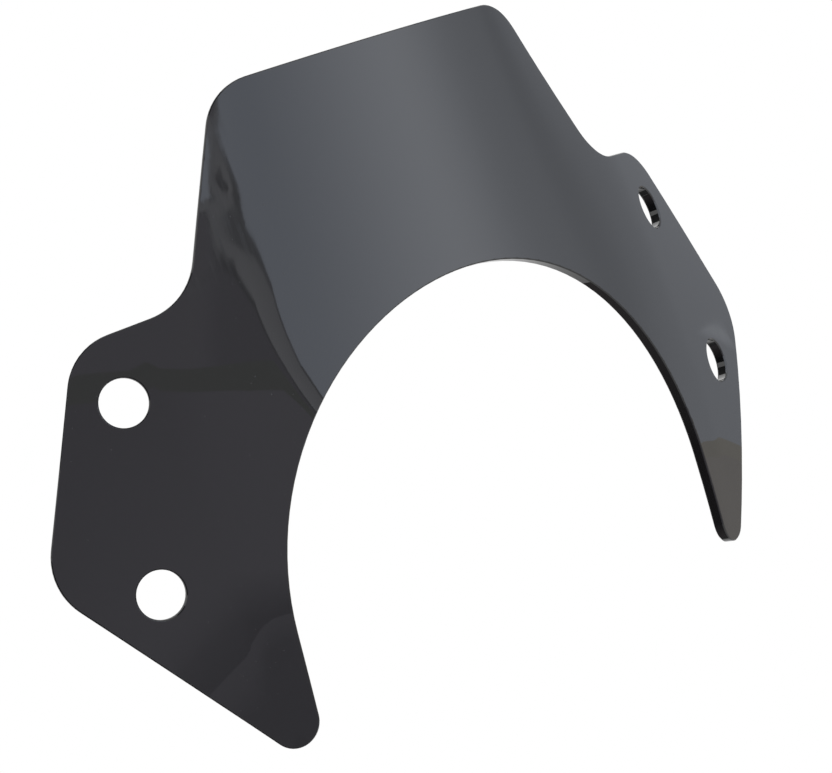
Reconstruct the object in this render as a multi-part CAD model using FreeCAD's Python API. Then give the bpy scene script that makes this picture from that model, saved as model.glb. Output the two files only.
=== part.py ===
import FreeCAD, Part
import math
import os
from FreeCAD import Vector

# Headlight cowl of a motorbike: one sheet of gloss plastic, heated, pressed over a former and
# then trimmed. It stands upright, its front faces -Y, and its two wings sweep back towards +Y.
# The origin is on the front face, at the centre of the round arch for the lamp.
#
# Sizes are in millimetres. "along" runs from the centre line round the bend of the front face,
# and "up" is the height above the origin. Together they say where a point of the sheet is.

# The sheet
SHEET = 3.0               # thickness
EDGE_BREAK = 0.4          # small bevel that takes the sharpness off every cut edge

# The bend: a round nose, with a wing that runs on from each side of it
NOSE_RADIUS = 210.0       # radius of the front face over the nose
NOSE_HALF = 88.0          # along: where the round nose ends and each wing begins

# The wings are not flat. Each is dished in height, so that its top and its foot lie further
# back than its middle, and its upper outer corner leans back.
BOW_START = 35.0          # along: where the dish begins
BOW_FULL = 85.0           # along: where it reaches its full depth
BOW_MIDDLE = 64.0         # up: the height that stays in place
BOW_REACH = 60.0          # up: distance from there at which the depth is measured
WING_BOW = 3.45           # the depth at that distance
LEAN_REACH = 100.0        # along and up: the point at which the lean is measured
CORNER_LEAN = 6.2         # how far back the sheet leans there

# The outline, right half. Corners are given sharp, before they are rounded.
TOP_HALF = 49.5
TOP_UP = 137.2
NOTCH_ALONG = 72.9        # inside corner between the panel and the wing
NOTCH_UP = 89.4
SHOULDER_ALONG = 103.6    # the wing's upper outer corner
SHOULDER_UP = 88.6
OUTER_ALONG = 128.7       # the wing's widest corner
OUTER_UP = 36.0
TIP_UP = -33.1            # the wing's lower tip
ARCH_RADIUS = 75.0        # the arch round the lamp; its two straight legs run on from it
LEG_SPREAD = 2.5          # along: how much further out than the arch the legs end
TIP_ALONG = ARCH_RADIUS + LEG_SPREAD

# Corner radii of the outline. A corner never takes more than half of its shorter side.
TOP_FILLET = 14.5
NOTCH_FILLET = 17.3
SHOULDER_FILLET = 15.0
OUTER_FILLET = 16.0
TIP_FILLET = 6.5

# Two holes in each wing, for bushed screws into the lamp bracket
HOLE_RADIUS = 6.1
UPPER_HOLE_IN = 7.3       # from the shoulder corner towards the centre line
UPPER_HOLE_DOWN = 16.5    # and down from it
LOWER_HOLE_IN = 25.3      # from the widest corner towards the centre line
LOWER_HOLE_DOWN = 10.4

# How finely the pressed sheet is worked
BLANK_MARGIN = 5.0        # spare sheet round the outline, before it is trimmed
ALONG_STEPS = 36          # spans of the sheet from wing to wing
UP_STEPS = 8              # and from foot to top
SEW_GAP = 0.01            # widest gap closed where two faces meet


def eased(share):
    """Rises from 0 to 1 without a kink at either end."""
    share = min(max(share, 0.0), 1.0)
    return share ** 3 * (10.0 - 15.0 * share + 6.0 * share ** 2)


def set_back(along, up):
    """How far the former presses the sheet back from a plain bend."""
    wing = eased((abs(along) - BOW_START) / (BOW_FULL - BOW_START))
    bow = WING_BOW * wing * ((up - BOW_MIDDLE) / BOW_REACH) ** 2
    lean = CORNER_LEAN * (along / LEAN_REACH) ** 2 * up / LEAN_REACH
    return bow + lean


def front_point(along, up):
    """Where a point of the front face goes when the sheet is pressed."""
    side = math.copysign(1.0, along)
    turn = min(abs(along), NOSE_HALF) / NOSE_RADIUS
    run = max(abs(along) - NOSE_HALF, 0.0)
    across = NOSE_RADIUS * math.sin(turn) + run * math.cos(turn)
    back = NOSE_RADIUS * (1.0 - math.cos(turn)) + run * math.sin(turn)
    behind = Vector(-side * math.sin(turn), math.cos(turn), 0)
    return Vector(side * across, back, up) + behind * set_back(along, up)


def stations(low, high, steps):
    return [low + (high - low) * i / steps for i in range(steps + 1)]


def smooth_curve(points, places):
    """A smooth curve that passes each point at its own place."""
    curve = Part.BSplineCurve()
    curve.interpolate(Points=points, Parameters=places)
    return curve


def smooth_surface(point_at):
    """A smooth surface through point_at(along, up). Its own coordinates are along and up."""
    reach = OUTER_ALONG + BLANK_MARGIN
    alongs = stations(-reach, reach, ALONG_STEPS)
    ups = stations(TIP_UP - BLANK_MARGIN, TOP_UP + BLANK_MARGIN, UP_STEPS)
    # One curve from wing to wing at each height, then one through the matching control points.
    across = [smooth_curve([point_at(along, up) for along in alongs], alongs) for up in ups]
    upward = [smooth_curve([Vector(pole) for pole in poles], ups)
              for poles in zip(*(curve.getPoles() for curve in across))]
    surface = Part.BSplineSurface()
    surface.buildFromPolesMultsKnots(
        [curve.getPoles() for curve in upward],
        across[0].getMultiplicities(), upward[0].getMultiplicities(),
        across[0].getKnots(), upward[0].getKnots(), False, False,
        across[0].Degree, upward[0].Degree)
    return surface


def inward(front, along, up):
    """The direction square to the sheet, from its front face to its back face."""
    normal = front.normal(along, up)
    return normal if normal.y > 0 else -normal


def pressed_sheet():
    """The front and back surfaces of the pressed sheet, before it is trimmed."""
    front = smooth_surface(front_point)
    back = smooth_surface(
        lambda along, up: front.value(along, up) + inward(front, along, up) * SHEET)
    return front, back


def flat(point):
    """A point of the outline, in the sheet's own two coordinates."""
    return FreeCAD.Base.Vector2d(point.x, point.y)


def on_arch(angle):
    return Vector(ARCH_RADIUS * math.cos(angle), ARCH_RADIUS * math.sin(angle), 0)


def rounded_corner(before, corner, after, radius):
    """The start, middle and end of the arc that rounds one corner of the outline."""
    arm_in = (before - corner).normalize()
    arm_out = (after - corner).normalize()
    half_angle = arm_in.getAngle(arm_out) / 2.0
    shorter_side = min((before - corner).Length, (after - corner).Length)
    radius = min(radius, shorter_side / 2.0 * math.tan(half_angle))
    setback = radius / math.tan(half_angle)
    to_centre = (arm_in + arm_out).normalize()
    crown = to_centre * (radius / math.sin(half_angle) - radius)
    return corner + arm_in * setback, corner + crown, corner + arm_out * setback


def outline():
    """The outline of the cowl, as lines and arcs anticlockwise round it."""
    right_half = [
        (TIP_ALONG, TIP_UP, TIP_FILLET),
        (OUTER_ALONG, OUTER_UP, OUTER_FILLET),
        (SHOULDER_ALONG, SHOULDER_UP, SHOULDER_FILLET),
        (NOTCH_ALONG, NOTCH_UP, NOTCH_FILLET),
        (TOP_HALF, TOP_UP, TOP_FILLET),
    ]
    left_half = [(-along, up, radius) for along, up, radius in reversed(right_half)]
    corners = right_half + left_half
    # Each straight leg leaves the arch smoothly and runs to the wing's tip.
    tip_distance = math.hypot(TIP_ALONG, TIP_UP)
    leg_angle = math.atan2(TIP_UP, TIP_ALONG) + math.acos(ARCH_RADIUS / tip_distance)
    right_foot = on_arch(leg_angle)
    left_foot = on_arch(math.pi - leg_angle)
    points = [right_foot] + [Vector(along, up, 0) for along, up, radius in corners] + [left_foot]

    curves = []
    here = right_foot
    for i, (along, up, radius) in enumerate(corners, start=1):
        start, crown, end = rounded_corner(points[i - 1], points[i], points[i + 1], radius)
        curves.append(Part.Geom2d.Line2dSegment(flat(here), flat(start)))
        curves.append(Part.Geom2d.ArcOfCircle2d(flat(start), flat(crown), flat(end)))
        here = end
    curves.append(Part.Geom2d.Line2dSegment(flat(here), flat(left_foot)))
    arch_crown = on_arch(math.pi / 2.0)
    curves.append(Part.Geom2d.ArcOfCircle2d(flat(left_foot), flat(arch_crown), flat(right_foot)))
    return curves


def trimmed_sheet(front, back):
    """The sheet before its holes: front and back faces, and cut edges square to them."""
    curves = outline()
    front_edges = [curve.toShape(front.toShape()) for curve in curves]
    back_edges = [curve.toShape(back.toShape()) for curve in curves]
    faces = [Part.Face(Part.Wire(front_edges)), Part.Face(Part.Wire(back_edges))]
    for front_edge, back_edge in zip(front_edges, back_edges):
        faces.append(Part.makeRuledSurface(front_edge, back_edge))
    skin = Part.Compound(faces)
    skin.sewShape(SEW_GAP)
    return Part.Solid(skin)


def wing_holes(front):
    """The cutters for the holes: round, and square to the sheet where they go through it."""
    overrun = SHEET
    upper_hole = (SHOULDER_ALONG - UPPER_HOLE_IN, SHOULDER_UP - UPPER_HOLE_DOWN)
    lower_hole = (OUTER_ALONG - LOWER_HOLE_IN, OUTER_UP - LOWER_HOLE_DOWN)
    cutters = []
    for side in (1, -1):
        for along, up in (upper_hole, lower_hole):
            through = inward(front, side * along, up)
            before = front.value(side * along, up) - through * overrun
            cutters.append(Part.makeCylinder(HOLE_RADIUS, SHEET + 2 * overrun, before, through))
    return cutters


def with_broken_edges(sheet):
    """Bevels every edge of the front and back faces, which are by far the largest two."""
    front_and_back = sorted(sheet.Faces, key=lambda face: face.Area)[-2:]
    rims = [edge for face in front_and_back for edge in face.Edges]
    return sheet.makeChamfer(EDGE_BREAK, rims)


def make_cowl():
    front, back = pressed_sheet()
    drilled = trimmed_sheet(front, back).cut(wing_holes(front)).Solids[0]
    return with_broken_edges(drilled).Solids[0]


os.makedirs("parts", exist_ok=True)
make_cowl().exportStep("parts/cowl.step")
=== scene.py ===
# %% [markdown]
# # A headlight cowl in gloss black
# This cowl frames the round headlamp of a motorbike. It is one sheet of black plastic that was
# heated, pressed over a former and trimmed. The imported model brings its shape, so this script has
# three jobs. It places the camera, gives the sheet its finish, and builds the room that its gloss
# mirrors.

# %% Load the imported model
import math

import bpy
from mathutils import Matrix, Vector

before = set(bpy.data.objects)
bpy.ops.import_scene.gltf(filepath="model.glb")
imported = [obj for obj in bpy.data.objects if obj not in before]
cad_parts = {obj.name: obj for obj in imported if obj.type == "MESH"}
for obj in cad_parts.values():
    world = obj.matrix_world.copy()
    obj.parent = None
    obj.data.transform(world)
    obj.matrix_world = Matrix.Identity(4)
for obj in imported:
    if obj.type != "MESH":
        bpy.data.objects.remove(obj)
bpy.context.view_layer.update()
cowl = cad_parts["cowl"]
print("cowl vertices:", len(cowl.data.vertices))

# %% [markdown]
# ## The camera
# The photograph was taken almost level with the cowl, from its left, and the cowl leans over in the
# picture. A camera can be turned by three angles, but which comes first is easily mixed up. Three
# directions are plainer: the picture's right, its up, and the way back to the lens. The lean of the
# cowl becomes the camera's roll, so the cowl itself can stand upright.

# %% The picture's own directions
CAMERA_AZIMUTH = math.radians(-37.58)
CAMERA_ELEVATION = math.radians(3.11)
CAMERA_ROLL = math.radians(-19.25)


def picture_axes():
    """The picture's right, its up, and the way back from the cowl to the camera."""
    back = Vector((math.sin(CAMERA_AZIMUTH) * math.cos(CAMERA_ELEVATION),
                   -math.cos(CAMERA_AZIMUTH) * math.cos(CAMERA_ELEVATION),
                   math.sin(CAMERA_ELEVATION)))
    level_right = Vector((math.cos(CAMERA_AZIMUTH), math.sin(CAMERA_AZIMUTH), 0.0))
    level_up = back.cross(level_right)
    right = level_right * math.cos(CAMERA_ROLL) + level_up * math.sin(CAMERA_ROLL)
    up = level_up * math.cos(CAMERA_ROLL) - level_right * math.sin(CAMERA_ROLL)
    return right, up, back


PICTURE_RIGHT, PICTURE_UP, TO_CAMERA = picture_axes()
print("towards the camera:", [round(c, 3) for c in TO_CAMERA])

# %% [markdown]
# ## How far away the camera stands
# From close by, the nearer wing looks much larger than the far one, and from far away they look
# alike. That fixes the distance, and the size of the cowl in the picture then fixes the lens. Both
# are given as one measures them in a picture: the focal length in pixels, and the pixel at which
# the centre of the lamp's arch lies.

# %% Place the camera
PICTURE_WIDTH = 832
PICTURE_HEIGHT = 773
ARCH_CENTRE_PIXEL = (558.2, 549.1)
FOCAL_PIXELS = 3102.0
CAMERA_DISTANCE = 0.784
SENSOR_WIDTH = 36.0


def place_camera():
    metres_per_pixel = CAMERA_DISTANCE / FOCAL_PIXELS
    across = (ARCH_CENTRE_PIXEL[0] - PICTURE_WIDTH / 2) * metres_per_pixel
    upwards = (PICTURE_HEIGHT / 2 - ARCH_CENTRE_PIXEL[1]) * metres_per_pixel
    camera = bpy.data.objects.new("camera", bpy.data.cameras.new("camera"))
    bpy.context.collection.objects.link(camera)
    camera.location = TO_CAMERA * CAMERA_DISTANCE - PICTURE_RIGHT * across - PICTURE_UP * upwards
    camera.rotation_mode = "QUATERNION"
    turned = Matrix((PICTURE_RIGHT, PICTURE_UP, TO_CAMERA)).transposed()
    camera.rotation_quaternion = turned.to_quaternion()
    camera.data.sensor_width = SENSOR_WIDTH
    camera.data.lens = FOCAL_PIXELS * SENSOR_WIDTH / PICTURE_WIDTH
    camera.data.clip_start = 0.01
    camera.data.clip_end = 50.0
    return camera


bpy.context.scene.camera = place_camera()
print("camera at", [round(c, 3) for c in bpy.context.scene.camera.location])

# %% [markdown]
# ## The former, once more
# The real sheet took its smoothness from the former that it was pressed over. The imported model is
# made of flat facets. Their shape is right to a few hundredths of a millimetre, but a mirror gloss
# shows far less than that, and the lines that it mirrors come out wobbly. A new and finer mesh would
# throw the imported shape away. So the former is worked out here from the formula that shaped the
# sheet, and the cowl will take only its facing from it.

# %% How the former is curved
# Sizes here are in millimetres. "along" runs round the bend from the centre line.
MILLIMETRE = 0.001
NOSE_RADIUS = 210.0
NOSE_HALF = 88.0          # along: where the round nose ends and each wing begins
BOW_START = 35.0          # along: where the dish in the wing begins
BOW_FULL = 85.0           # along: where it reaches its full depth
BOW_MIDDLE = 64.0         # up: the height that stays in place
BOW_REACH = 60.0          # up: distance from there at which the depth is measured
WING_BOW = 3.45           # the depth at that distance
LEAN_REACH = 100.0        # along and up: the point at which the lean is measured
CORNER_LEAN = 6.2         # how far back the sheet leans there


def eased(share):
    """Rises from 0 to 1 without a kink at either end."""
    share = min(max(share, 0.0), 1.0)
    return share ** 3 * (10.0 - 15.0 * share + 6.0 * share ** 2)


def former_point(along, up):
    """A round nose with a wing on each side, dished and leaning back towards its top."""
    wing = eased((abs(along) - BOW_START) / (BOW_FULL - BOW_START))
    bow = WING_BOW * wing * ((up - BOW_MIDDLE) / BOW_REACH) ** 2
    lean = CORNER_LEAN * (along / LEAN_REACH) ** 2 * up / LEAN_REACH
    turn = min(abs(along), NOSE_HALF) / NOSE_RADIUS
    run = max(abs(along) - NOSE_HALF, 0.0)
    in_front = NOSE_RADIUS - bow - lean
    across = in_front * math.sin(turn) + run * math.cos(turn)
    back = NOSE_RADIUS - in_front * math.cos(turn) + run * math.sin(turn)
    return Vector((math.copysign(across, along), back, up)) * MILLIMETRE


print("each wing begins at", [round(c, 4) for c in former_point(NOSE_HALF, 0.0)])

# %% Which way the former faces
FACING_STEP = 0.05


def outward(along, up):
    """The direction square to the front of the sheet, away from it."""
    sideways = former_point(along + FACING_STEP, up) - former_point(along - FACING_STEP, up)
    upwards = former_point(along, up + FACING_STEP) - former_point(along, up - FACING_STEP)
    return sideways.cross(upwards).normalized()


print("each wing faces", [round(c, 3) for c in outward(NOSE_HALF, 0.0)])

# %% [markdown]
# ## The slight unevenness of the upper panel
# A sheet that was pressed by hand is never quite true near its edges. In the photograph, the
# mirrored edge of a bright wall bends near the side of the upper panel: the corner faces a little
# further up, and a shallow hollow below it faces a little further down. These tilts are under one
# degree, which is too little to see as a shape. So only the facing of the gloss is turned, and the
# sheet stays where it is.

# %% Where the gloss faces up or down
CORNER_TILT = 0.019
CORNER_UP = 104.0
CORNER_UP_REACH = 45.0
CORNER_SIDE = 43.3
CORNER_SIDE_REACH = 14.0

HOLLOW_TILT = 0.042
HOLLOW_UP = 110.6
HOLLOW_HALF_HEIGHT = 21.6
HOLLOW_SIDE = 53.6
HOLLOW_SIDE_REACH = 29.7
HOLLOW_END = 76.0
HOLLOW_END_REACH = 14.0


def unevenness(along, up):
    """How much further up the gloss faces than the former, in radians."""
    side = abs(along)
    corner = eased((up - CORNER_UP) / CORNER_UP_REACH)
    corner *= eased((side - CORNER_SIDE) / CORNER_SIDE_REACH)
    hollow = max(0.0, 1.0 - ((up - HOLLOW_UP) / HOLLOW_HALF_HEIGHT) ** 2) ** 2
    hollow *= eased((side - HOLLOW_SIDE) / HOLLOW_SIDE_REACH)
    hollow *= 1.0 - eased((side - HOLLOW_END) / HOLLOW_END_REACH)
    return CORNER_TILT * corner - HOLLOW_TILT * hollow


def gloss_direction(along, up):
    return (outward(along, up) + Vector((0.0, 0.0, unevenness(along, up)))).normalized()


PANEL_SIDE = 62.5         # along: the side of the panel at the hollow's height
print("tilt in the hollow, degrees:", round(math.degrees(unevenness(PANEL_SIDE, HOLLOW_UP)), 2))

# %% [markdown]
# ## A hidden grid for the former
# The former needs no material and no thickness. It is two fine grids, one at the front face of the
# sheet and one at its back face, and each corner of them knows which way the gloss faces there. It
# is hidden, so it shows in no picture.

# %% Lay out the grids
FORMER_SIDE = 134.0
FORMER_FOOT = -38.0
FORMER_TOP = 142.0


def evenly(low, high, step):
    return [low + step * i for i in range(round((high - low) / step) + 1)]


ALONGS = evenly(-FORMER_SIDE, FORMER_SIDE, 2.0)
UPS = evenly(FORMER_FOOT, FORMER_TOP, 3.0)


def grid_faces(start, facing_back):
    """The faces of one grid, whose corners run upwards from start, column by column."""
    faces = []
    for i in range(len(ALONGS) - 1):
        for j in range(len(UPS) - 1):
            a = start + i * len(UPS) + j
            face = (a, a + len(UPS), a + len(UPS) + 1, a + 1)
            faces.append(face[::-1] if facing_back else face)
    return faces


print("corners in each grid:", len(ALONGS) * len(UPS))

# %% Build the former
SHEET = 3.0


def make_former():
    corners = []
    facings = []
    faces = []
    for depth in (0.0, SHEET * MILLIMETRE):
        faces += grid_faces(len(corners), facing_back=depth > 0.0)
        for along in ALONGS:
            for up in UPS:
                facing = gloss_direction(along, up)
                corners.append(former_point(along, up) - outward(along, up) * depth)
                facings.append(-facing if depth > 0.0 else facing)
    mesh = bpy.data.meshes.new("former")
    mesh.from_pydata(corners, [], faces)
    mesh.shade_smooth()
    mesh.normals_split_custom_set_from_vertices(facings)
    former = bpy.data.objects.new("former", mesh)
    bpy.context.collection.objects.link(former)
    former.hide_render = True
    former.hide_viewport = True
    return former


former = make_former()
print("former faces:", len(former.data.polygons))

# %% [markdown]
# ## Lend the former's facing to the cowl
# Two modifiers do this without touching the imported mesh. The first splits each facet into smaller
# flat ones, so that there are corners enough to hold a fine change of facing. The second looks up
# the nearest spot of the former for each corner and copies its facing. It only does so within a
# small distance, so the cut edges, the bevels and the walls of the holes keep their own facing.

# %% Add the two modifiers
NEAR_THE_FORMER = 0.15 * MILLIMETRE

finer = cowl.modifiers.new("finer_facets", "SUBSURF")
finer.subdivision_type = "SIMPLE"
finer.levels = 2
finer.render_levels = 2
finer.use_custom_normals = True

gloss = cowl.modifiers.new("gloss_of_the_former", "DATA_TRANSFER")
gloss.object = former
gloss.use_loop_data = True
gloss.data_types_loops = {"CUSTOM_NORMAL"}
gloss.loop_mapping = "POLYINTERP_NEAREST"
gloss.use_max_distance = True
gloss.max_distance = NEAR_THE_FORMER
print("modifiers on the cowl:", [modifier.name for modifier in cowl.modifiers])

# %% [markdown]
# ## Polished black plastic
# The plastic is dyed through, so its colour is nearly black, and what we see is the clear gloss on
# top. One roughness value would make it look like glass. A sheet that was polished and handled has
# a faint haze, fine upright marks from wiping, and a few specks of dust. Each of these comes from
# noise at its own size, so there is no picture to wrap round the sheet.

# %% Small helpers for materials


def noise(tree, place, scale, detail):
    """Soft random patches. The larger the scale, the smaller the patches."""
    texture = tree.nodes.new("ShaderNodeTexNoise")
    texture.inputs["Scale"].default_value = scale
    texture.inputs["Detail"].default_value = detail
    tree.links.new(place, texture.inputs["Vector"])
    return texture.outputs["Fac"]


def in_range(tree, value, found, wanted):
    """Turns the range found, from low to high, into the range wanted, and stays inside it."""
    spread = tree.nodes.new("ShaderNodeMapRange")
    spread.inputs["From Min"].default_value = found[0]
    spread.inputs["From Max"].default_value = found[1]
    spread.inputs["To Min"].default_value = wanted[0]
    spread.inputs["To Max"].default_value = wanted[1]
    tree.links.new(value, spread.inputs["Value"])
    return spread.outputs["Result"]


def added(tree, *values):
    """The sum of some values."""
    total = values[0]
    for value in values[1:]:
        both = tree.nodes.new("ShaderNodeMath")
        both.operation = "ADD"
        tree.links.new(total, both.inputs[0])
        tree.links.new(value, both.inputs[1])
        total = both.outputs["Value"]
    return total


# %% Dust, haze and wiping marks
SPECKS_PER_METRE = 1400.0
SPECK_THRESHOLD = (0.77, 0.81)
SPECK_DULLNESS = 0.25
HAZE_PER_METRE = 55.0
HAZE_SPREAD = (0.35, 0.7)
HAZE_ROUGHNESS = (0.008, 0.02)
WIPE_STRETCH = (900.0, 900.0, 14.0)
WIPE_SPREAD = (0.5, 0.8)
WIPE_ROUGHNESS = (0.0, 0.012)


def dust(tree, place):
    """0 on clean gloss, and more than that on the few specks where the noise peaks."""
    specks = noise(tree, place, SPECKS_PER_METRE, detail=1.0)
    return in_range(tree, specks, SPECK_THRESHOLD, (0.0, SPECK_DULLNESS))


def handled_roughness(tree, place, dusty):
    haze = noise(tree, place, HAZE_PER_METRE, detail=3.0)
    stretch = tree.nodes.new("ShaderNodeMapping")
    stretch.inputs["Scale"].default_value = WIPE_STRETCH
    tree.links.new(place, stretch.inputs["Vector"])
    wiping = noise(tree, stretch.outputs["Vector"], 1.0, detail=2.0)
    dull = in_range(tree, haze, HAZE_SPREAD, HAZE_ROUGHNESS)
    wiped = in_range(tree, wiping, WIPE_SPREAD, WIPE_ROUGHNESS)
    return added(tree, dull, wiped, dusty)


# %% [markdown]
# ## The ripple in the gloss
# Pressed plastic has a last, very faint ripple, a few thousandths of a millimetre high and a few
# centimetres long. It is what makes a mirrored line look poured rather than ruled. It can't be seen
# as a shape, so a bump is the right tool for it.

# %% Make the plastic
PLASTIC_BLACK = (0.006, 0.006, 0.0064, 1.0)
PLASTIC_IOR = 1.49
DUST_GREY = (0.08, 0.08, 0.075, 1.0)
RIPPLES_PER_METRE = 38.0
RIPPLE_HEIGHT = 0.006 * MILLIMETRE


def ripple(tree, place):
    bump = tree.nodes.new("ShaderNodeBump")
    bump.inputs["Strength"].default_value = 1.0
    bump.inputs["Distance"].default_value = RIPPLE_HEIGHT
    tree.links.new(noise(tree, place, RIPPLES_PER_METRE, detail=0.0), bump.inputs["Height"])
    return bump.outputs["Normal"]


def polished_black():
    material = bpy.data.materials.new("polished_black")
    material.use_nodes = True
    tree = material.node_tree
    shader = tree.nodes["Principled BSDF"]
    shader.inputs["IOR"].default_value = PLASTIC_IOR
    place = tree.nodes.new("ShaderNodeTexCoord").outputs["Object"]
    dusty = dust(tree, place)
    tone = tree.nodes.new("ShaderNodeMix")
    tone.data_type = "RGBA"
    tone.inputs["A"].default_value = PLASTIC_BLACK
    tone.inputs["B"].default_value = DUST_GREY
    tree.links.new(dusty, tone.inputs["Factor"])
    tree.links.new(tone.outputs["Result"], shader.inputs["Base Color"])
    tree.links.new(handled_roughness(tree, place, dusty), shader.inputs["Roughness"])
    tree.links.new(ripple(tree, place), shader.inputs["Normal"])
    return material


cowl.data.materials.clear()
cowl.data.materials.append(polished_black())
print("plastic:", cowl.data.materials[0].name)

# %% [markdown]
# ## A room to mirror
# Black gloss has almost no light of its own. What the eye reads as its shape is the room that it
# mirrors, so the room has to be right. Each part of it is a card on a very large globe round the
# cowl, because the mirrored lines then depend only on which way the gloss faces. A card is placed
# by the directions in which the cowl sees it: "turn" is degrees from the camera round to the right
# of the picture, and "rise" is degrees up. The camera itself doesn't see the cards.

# %% Directions and edges
GLOBE_RADIUS = 400.0
NEARER = 0.975 * GLOBE_RADIUS


def towards(turn, rise):
    turn = math.radians(turn)
    rise = math.radians(rise)
    level_way = TO_CAMERA * math.cos(turn) + PICTURE_RIGHT * math.sin(turn)
    return level_way * math.cos(rise) + PICTURE_UP * math.sin(rise)


def through(*points):
    """An edge that runs straight from each (turn, rise) to the next."""
    def rise(turn):
        if turn <= points[0][0]:
            return points[0][1]
        for (turn_a, rise_a), (turn_b, rise_b) in zip(points, points[1:]):
            if turn <= turn_b:
                return rise_a + (rise_b - rise_a) * (turn - turn_a) / (turn_b - turn_a)
        return points[-1][1]
    return rise


def level(rise):
    return lambda turn: rise


def raised(edge, height):
    return lambda turn: edge(turn) + height


print("the right of the picture is", [round(c, 2) for c in towards(90.0, 0.0)])

# %% [markdown]
# ## What a card looks like
# A real studio card is bright where its lamp is and fades to its ends. A plain lamp would light the
# cowl the same way but would show in the gloss as a hard square. So a card glows by a colour ramp
# along its turn, and a second ramp may colour its upper edge. Each stop of a ramp has a brightness
# and one of a few named tints.

# %% Stops of light


def lit(tint, *stops):
    """Stops of light of one tint, each a turn and a brightness."""
    return [(turn, [brightness * share for share in tint]) for turn, brightness in stops]


def ramp_along(tree, share, light, strongest):
    first = light[0][0]
    last = light[-1][0]
    ramp = tree.nodes.new("ShaderNodeValToRGB")
    ramp.color_ramp.interpolation = "CARDINAL"
    marks = ramp.color_ramp.elements
    while len(marks) < len(light):
        marks.new(0.5)
    for mark, (turn, colour) in zip(marks, light):
        mark.position = (turn - first) / (last - first)
        mark.color = [part / strongest for part in colour] + [1.0]
    tree.links.new(share, ramp.inputs["Fac"])
    return ramp.outputs["Color"]


# %% A material that glows


def glow(name, light, high_light):
    """Light that changes along a card, and from its lower edge to its upper edge."""
    material = bpy.data.materials.new(name)
    material.use_nodes = True
    tree = material.node_tree
    tree.nodes.remove(tree.nodes["Principled BSDF"])
    place = tree.nodes.new("ShaderNodeUVMap")
    place.uv_map = "card"
    split = tree.nodes.new("ShaderNodeSeparateXYZ")
    tree.links.new(place.outputs["UV"], split.inputs["Vector"])
    strongest = max(max(colour) for turn, colour in light + high_light)
    mix = tree.nodes.new("ShaderNodeMix")
    mix.data_type = "RGBA"
    tree.links.new(split.outputs["Y"], mix.inputs["Factor"])
    tree.links.new(ramp_along(tree, split.outputs["X"], light, strongest), mix.inputs["A"])
    tree.links.new(ramp_along(tree, split.outputs["X"], high_light, strongest), mix.inputs["B"])
    lamp = tree.nodes.new("ShaderNodeEmission")
    lamp.inputs["Strength"].default_value = strongest
    tree.links.new(mix.outputs["Result"], lamp.inputs["Color"])
    tree.links.new(lamp.outputs["Emission"], tree.nodes["Material Output"].inputs["Surface"])
    return material


# %% Hang a card
CARD_STEP = 0.5
CARD_ROWS = 8


def hang_card(name, low_edge, high_edge, light, high_light=None, radius=GLOBE_RADIUS):
    """A curved card from the first stop of its light to the last one."""
    first = light[0][0]
    last = light[-1][0]
    columns = int((last - first) / CARD_STEP)
    corners = []
    shares = []
    for i in range(columns + 1):
        turn = first + (last - first) * i / columns
        for j in range(CARD_ROWS + 1):
            rise = low_edge(turn) + (high_edge(turn) - low_edge(turn)) * j / CARD_ROWS
            corners.append(towards(turn, rise) * radius)
            shares.append((i / columns, j / CARD_ROWS))
    faces = []
    for i in range(columns):
        for j in range(CARD_ROWS):
            a = i * (CARD_ROWS + 1) + j
            faces.append((a, a + 1, a + CARD_ROWS + 2, a + CARD_ROWS + 1))
    mesh = bpy.data.meshes.new(name)
    mesh.from_pydata(corners, [], faces)
    layer = mesh.uv_layers.new(name="card")
    for loop in mesh.loops:
        layer.data[loop.index].uv = shares[loop.vertex_index]
    mesh.materials.append(glow(name, light, high_light or light))
    card = bpy.data.objects.new(name, mesh)
    bpy.context.collection.objects.link(card)
    card.visible_camera = False
    print("card", name, "from turn", first, "to", last)


# %% [markdown]
# ## The bright wall
# The upper panel and most of the right wing mirror one pale, softly lit wall. It is brightest
# almost straight to the right, which gives the light band down the middle of the panel, and it
# fades towards the back, which darkens the right wing. Its lower edge is the strongest line in the
# whole picture: it runs down the left side of the panel and ends at the arch. The wall could be a
# round softbox, but then this edge would be missing, so it is a card cut to that edge.

# %% Hang the bright wall
COOL = (0.93, 1.0, 1.14)
MILD = (0.955, 1.0, 1.09)
WALL_START = 14.0
WALL_TOP = 60.0
WALL_EDGE = through((14.0, 12.5), (22.0, 12.1), (31.3, 11.71), (33.2, 11.56), (35.0, 11.3),
                    (39.0, 9.87), (44.0, 8.9), (60.0, 8.25), (130.0, 8.2))
WALL_LIGHT = (lit(COOL, (WALL_START, 2.15), (44.0, 2.1))
              + lit(MILD, (75.0, 3.0), (92.0, 1.95), (110.0, 1.1), (130.0, 0.74), (160.0, 0.52)))

hang_card("soft_wall", WALL_EDGE, level(WALL_TOP), WALL_LIGHT)

# %% [markdown]
# ## The dark line under the wall
# A thin dark line runs along the foot of the wall, like the gap that a real panel leaves. It is
# finest at its front end. The line is a card of its own, hung a little nearer than the wall, so its
# upper side is the wall's edge and only its lower side has to be worked out.

# %% Hang the dark line
PALE = (1.0, 1.01, 1.07)
LINE_START = 18.5
WALL_CORNER = 44.0
LINE_HEIGHT = 0.14
FINEST_SHARE = 0.1
FINE_UP_TO = 19.0
GROWS_OVER = 13.0


def under_line(edge):
    """The lower side of the dark line that runs along an edge."""
    def rise(turn):
        growth = eased((turn - FINE_UP_TO) / GROWS_OVER)
        return edge(turn) - LINE_HEIGHT * (FINEST_SHARE + (1.0 - FINEST_SHARE) * growth)
    return rise


hang_card("frame_line", under_line(WALL_EDGE), WALL_EDGE,
          lit(PALE, (LINE_START, 0.7), (WALL_CORNER, 0.7)), radius=NEARER)

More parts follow.
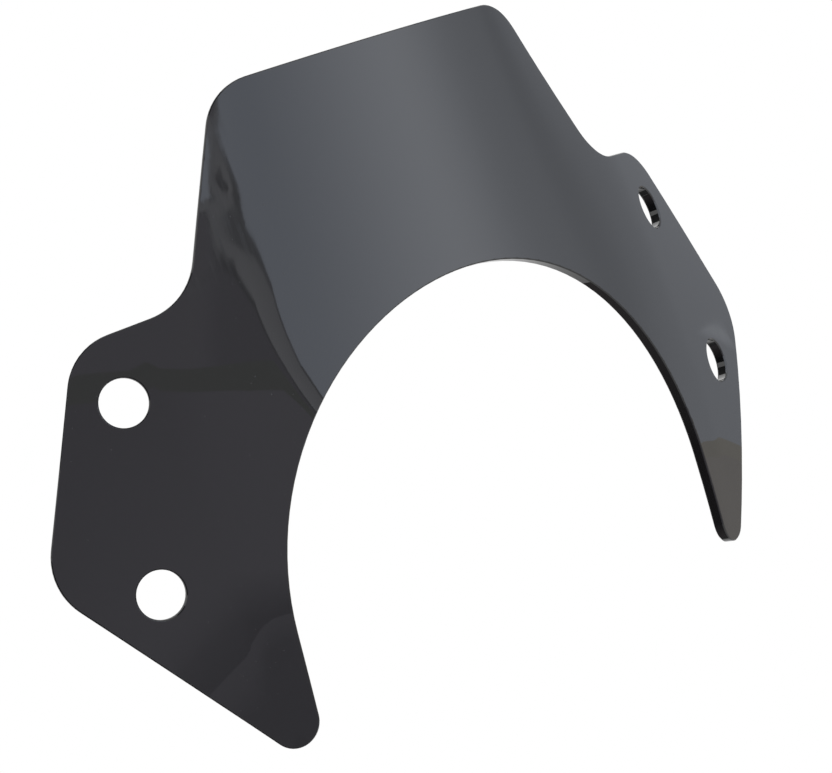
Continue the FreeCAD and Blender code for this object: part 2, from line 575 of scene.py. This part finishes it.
# %% [markdown]
# ## The skirting under the wall
# Below the bright wall comes a narrow grey skirting with a dark line of its own. In the gloss it is
# the slim band beside the bright part of the panel. It widens towards the arch, so it is an edge of
# its own rather than a copy of the wall's edge.

# %% Hang the skirting
SKIRT_EDGE = through((14.0, 12.35), (18.0, 12.25), (20.2, 12.12), (22.0, 12.02), (23.6, 11.94),
                     (26.3, 11.75), (31.0, 11.03), (34.0, 10.08), (38.0, 8.9), (44.0, 7.7))

hang_card("skirt", SKIRT_EDGE, WALL_EDGE, lit(PALE, (WALL_START, 1.4), (WALL_CORNER, 1.4)),
          high_light=lit(PALE, (WALL_START, 1.15), (WALL_CORNER, 1.15)))
hang_card("skirt_line", under_line(SKIRT_EDGE), SKIRT_EDGE,
          lit(PALE, (WALL_START, 0.48), (WALL_CORNER, 0.58)))

# %% [markdown]
# ## The dim room in front of the left wing
# The left wing mirrors a dim grey room near the camera. A darker, slightly green shelf crosses it,
# at the height of the wing's upper hole. The room could be one card, but the shelf shows as a band
# with two clear sides, so the room is hung as a card above the shelf and one below it.

# %% Hang the shelf and the wall above it
ROOM_GREY = (1.0, 0.97, 1.085)
NEUTRAL = (1.0, 1.0, 1.0)
MOSS = (0.96, 1.0, 0.945)
ROOM_LEFT = -25.0
ROOM_RIGHT = 60.0
ROOM_TOP = 25.0
SHELF_TOP = through((5.8, 10.4), (9.6, 8.75), (12.8, 8.35), (18.3, 8.55), (34.0, 9.5),
                    (38.0, 8.6), (41.0, 8.1), (60.0, 8.0))
SHELF_FOOT = through((5.8, 9.6), (9.6, 7.8), (12.6, 6.9), (18.1, 7.1), (29.1, 7.8),
                     (35.0, 8.45), (38.0, 8.2), (41.0, 7.8), (60.0, 7.5))

hang_card("room_wall", SHELF_TOP, under_line(SKIRT_EDGE),
          lit(ROOM_GREY, (WALL_START, 0.84), (20.5, 0.84), (24.0, 0.74), (WALL_CORNER, 0.72)))
hang_card("room_side", SHELF_TOP, level(ROOM_TOP),
          lit(ROOM_GREY, (ROOM_LEFT, 0.8), (WALL_START, 0.84)))
hang_card("shelf", SHELF_FOOT, SHELF_TOP,
          lit(NEUTRAL, (ROOM_LEFT, 0.7)) + lit(MOSS, (ROOM_RIGHT, 0.73)))

# %% Hang the room below the shelf
FOOT_TOP = -4.0
FOOT_BOTTOM = -7.0
ROOM_BOTTOM = -45.0
ROOM_LIGHT = lit(ROOM_GREY, (ROOM_LEFT, 0.74), (8.0, 0.74), (18.0, 0.82), (28.0, 0.87),
                 (ROOM_RIGHT, 0.87))
CORNER_LIGHT = lit(ROOM_GREY, (ROOM_LEFT, 0.7), (20.0, 0.84), (22.5, 0.78), (24.0, 0.69),
                   (27.0, 0.57), (ROOM_RIGHT, 0.57))

hang_card("room_front", level(FOOT_TOP), SHELF_FOOT, ROOM_LIGHT)
hang_card("room_foot", level(FOOT_BOTTOM), level(FOOT_TOP), CORNER_LIGHT, high_light=ROOM_LIGHT)
hang_card("room_corner", level(ROOM_BOTTOM), level(FOOT_BOTTOM), CORNER_LIGHT)

# %% [markdown]
# ## The curved band at the left wing's tip
# Near its tip, the left wing shows a lighter band that curves from the arch to the lower edge. Its
# upper side is sharp and its lower side fades away. It is one card with a light upper edge, hung a
# little nearer than the room, and a second card that carries its fading foot further down.

# %% Hang the light band
BAND_HEIGHT = 2.0
BAND_EDGE = through((26.4, -9.2), (26.6, -8.8), (27.7, -7.8), (29.0, -7.1), (31.0, -6.4),
                    (34.0, -6.0))
BAND_LIGHT = lit(ROOM_GREY, (26.4, 0.78), (28.2, 0.71), (29.2, 0.63), (30.5, 0.6), (34.0, 0.6))

hang_card("light_band", raised(BAND_EDGE, -BAND_HEIGHT), BAND_EDGE, BAND_LIGHT,
          high_light=lit(ROOM_GREY, (26.4, 0.77), (34.0, 0.75)), radius=NEARER)
hang_card("under_band", level(ROOM_BOTTOM), raised(BAND_EDGE, -BAND_HEIGHT), BAND_LIGHT,
          radius=NEARER)

# %% [markdown]
# ## The bench and a streak on the right wing
# The tip of the right wing mirrors a warm grey bench that stands against the foot of the wall, with
# a straw-coloured rim along its top. Above the wing's lower hole, the photograph has soft wavy
# streaks. One slim card that fades at both ends stands for them.

# %% Hang the bench and the streak
WARM = (1.0, 0.95, 0.9)
STRAW = (1.0, 0.955, 0.865)
RIM_FOOT = 7.5
STREAK_HEIGHT = 0.1
STREAK_EDGE = through((134.4, 12.1), (136.8, 13.35))

hang_card("bench", level(ROOM_BOTTOM), WALL_EDGE,
          lit(WARM, (ROOM_RIGHT, 0.8), (120.0, 0.78), (126.5, 0.73), (130.0, 0.62), (160.0, 0.55)))
hang_card("bench_rim", level(RIM_FOOT), WALL_EDGE,
          lit(STRAW, (ROOM_RIGHT, 0.7), (128.0, 0.67), (160.0, 0.5)), radius=NEARER)
hang_card("wing_streak", STREAK_EDGE, raised(STREAK_EDGE, STREAK_HEIGHT),
          lit(MILD, (134.4, 0.69), (135.1, 0.88), (135.9, 0.82), (136.8, 0.66)), radius=NEARER)

# %% [markdown]
# ## The dark side, with two windows
# The walls of the holes look to the left and to the back, where the studio is dark. They would be
# plain black without the two windows there, which give each hole its bright glint and the thin
# bright line at its foot. A lamp would light the whole cowl, and a window card only shows in the
# gloss that faces it.

# %% Hang the dark side and its windows
DARK_SIDE = (-25.0, 56.0)
SIDE_WINDOW = (-3.0, 25.0)
HIGH_WINDOW = (38.0, 57.0)

hang_card("dark_side", level(DARK_SIDE[0]), level(DARK_SIDE[1]),
          lit(NEUTRAL, (-180.0, 0.26), (-110.0, 0.2), (-60.0, 0.1), (ROOM_LEFT, 0.08)))
hang_card("side_window", level(SIDE_WINDOW[0]), level(SIDE_WINDOW[1]),
          lit(NEUTRAL, (-82.0, 1.3), (-42.0, 1.9)), radius=NEARER)
hang_card("high_window", level(HIGH_WINDOW[0]), level(HIGH_WINDOW[1]),
          lit(NEUTRAL, (-165.0, 3.4), (-108.0, 3.0)), radius=NEARER)

# %% [markdown]
# ## Black flags below the cowl
# The cut edge of the arch shows on the right, where it faces left and down. A pale floor would make
# it white, while in the photograph it is nearly black. A photographer would put a black flag there,
# out of the picture. The flag and the cloth here do the same. They hang close to the cowl, so that
# they hide the floor from its gloss.

# %% Put up the flags
DUSK = (1.0, 0.92, 0.94)
FLAG_RADIUS = 0.5
FLAG_FOOT = -88.0
FLAG_TOP = -14.0
CLOTH_TOP = -50.0

hang_card("black_flag", level(FLAG_FOOT), level(FLAG_TOP),
          lit(DUSK, (-180.0, 0.34), (ROOM_LEFT, 0.34)), radius=FLAG_RADIUS,
          high_light=lit(DUSK, (-180.0, 0.06), (ROOM_LEFT, 0.02)))
hang_card("black_cloth", level(FLAG_FOOT), level(CLOTH_TOP),
          lit(DUSK, (ROOM_LEFT, 0.22)) + lit(NEUTRAL, (180.0, 0.2)), radius=FLAG_RADIUS)

# %% [markdown]
# ## The pale floor
# The floor is a pale disc well below the cowl. A strong lamp could make it white, but it would
# light the cowl too. So it has a pale paint for the light that falls on it, and mixes in a plain
# white glow for the rays that see it: those of the camera, and those that the gloss or a glass
# sends out. It keeps a share of the paint, and with it the soft shadow of the cowl.

# %% Make the floor
FLOOR_UP = -0.6
FLOOR_RADIUS = 1.15
FLOOR_PALE = (0.85, 0.85, 0.85, 1.0)
WHITE_SHARE = 0.9


def pale_floor():
    material = bpy.data.materials.new("pale_floor")
    material.use_nodes = True
    tree = material.node_tree
    tree.nodes.remove(tree.nodes["Principled BSDF"])
    paint = tree.nodes.new("ShaderNodeBsdfDiffuse")
    paint.inputs["Color"].default_value = FLOOR_PALE
    white = tree.nodes.new("ShaderNodeEmission")
    ray = tree.nodes.new("ShaderNodeLightPath")
    seen = added(tree, ray.outputs["Is Camera Ray"], ray.outputs["Is Glossy Ray"],
                 ray.outputs["Is Transmission Ray"])
    mix = tree.nodes.new("ShaderNodeMixShader")
    tree.links.new(in_range(tree, seen, (0.0, 1.0), (0.0, WHITE_SHARE)), mix.inputs["Fac"])
    tree.links.new(paint.outputs["BSDF"], mix.inputs[1])
    tree.links.new(white.outputs["Emission"], mix.inputs[2])
    tree.links.new(mix.outputs["Shader"], tree.nodes["Material Output"].inputs["Surface"])
    return material


bpy.ops.mesh.primitive_circle_add(vertices=96, radius=FLOOR_RADIUS, fill_type="NGON",
                                  location=(0.0, 0.0, FLOOR_UP))
floor = bpy.context.object
floor.name = "floor"
floor.data.materials.append(pale_floor())
print("floor", FLOOR_UP, "m below the arch's centre")

# %% [markdown]
# ## The white surroundings
# Wherever there is no card, the world is plain white at a strength of 1. It is the white background
# of the picture and also a soft, even light from all sides. The Standard view shows colours as they
# are written.

# %% Set the world
WHITE = (1.0, 1.0, 1.0, 1.0)

world = bpy.data.worlds.new("studio")
bpy.context.scene.world = world
world.use_nodes = True
surroundings = world.node_tree.nodes["Background"]
surroundings.inputs["Color"].default_value = WHITE
surroundings.inputs["Strength"].default_value = 1.0
bpy.context.scene.view_settings.view_transform = "Standard"
print("world:", world.name)
